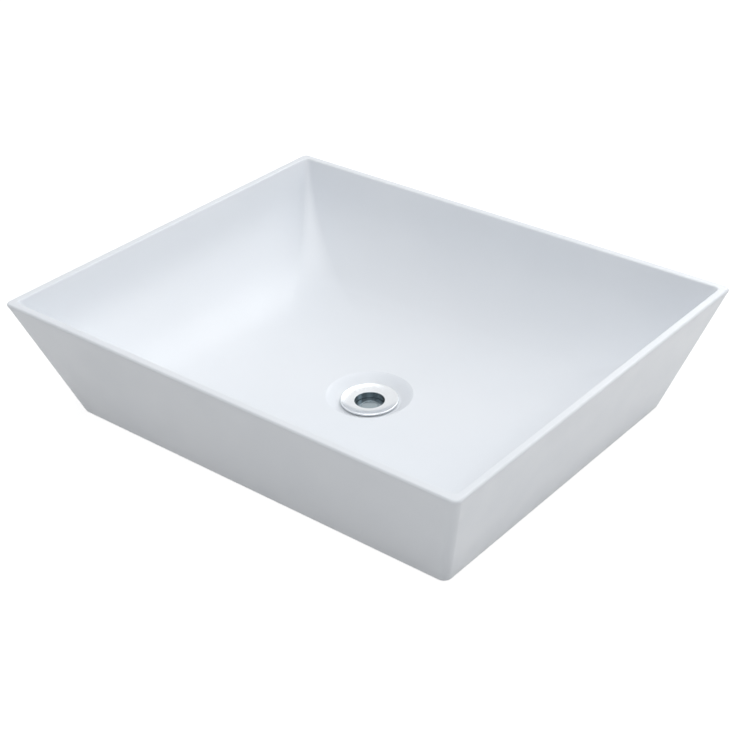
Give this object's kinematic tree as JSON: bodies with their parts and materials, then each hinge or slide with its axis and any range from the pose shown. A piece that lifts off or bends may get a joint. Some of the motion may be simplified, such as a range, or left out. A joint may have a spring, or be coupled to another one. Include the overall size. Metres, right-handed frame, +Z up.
{
  "type": "countertop basin",
  "caption": "Rectangular ceramic countertop basin with outward-leaning flat walls, a thin rim, a soft dished bowl and a recessed push-button waste.",
  "frame": {"origin": "on the drain's axis, in the plane of the worktop that the basin's foot stands on", "axes": "+X along the basin's length, +Y across it, +Z up"},
  "size_m": [0.55, 0.448, 0.2568],
  "materials": {
    "glaze": "glossy white glaze",
    "chrome": "polished plating",
    "seal_rubber": "matte",
    "white_plastic": "satin",
    "brass": "machined",
    "steel": "bright",
    "cartridge_plastic": "moulded",
    "fibre": "pressed fibre"
  },
  "bodies": {
    "basin_and_waste": {"basin": "glaze", "flange_gasket": "seal_rubber", "waste_body": "chrome", "tapered_washer": "seal_rubber", "slip_washer": "white_plastic", "lock_nut": "brass", "tail_seal": "seal_rubber", "tailpiece": "chrome", "spring": "steel", "cartridge_housing": "cartridge_plastic", "cartridge_cap": "cartridge_plastic", "cartridge_washer": "fibre", "cartridge_nut": "brass"},
    "plug": {"plug_cap": "chrome", "plug_seal": "seal_rubber", "plug_stud": "steel", "jam_nut": "steel", "plunger": "cartridge_plastic", "rotor_clip": "steel"},
    "cam_rotor": {"rotor": "cartridge_plastic"}
  },
  "joints": [
    {"name": "plug_slide", "type": "slide", "parent": "basin_and_waste", "child": "plug", "axis": [0, 0, 1], "range_m": [-0.0015, 0.015], "deforming": ["spring"]},
    {"name": "rotor_turn", "type": "hinge", "parent": "plug", "child": "cam_rotor", "pos_m": [0, 0, -0.03645], "axis": [0, 0, 1], "range_deg": [-4.5, 45]}
  ],
  "couplings": [
    {"joint": "rotor_turn", "follows": "plug_slide", "rad_per_m": 52.36}
  ]
}
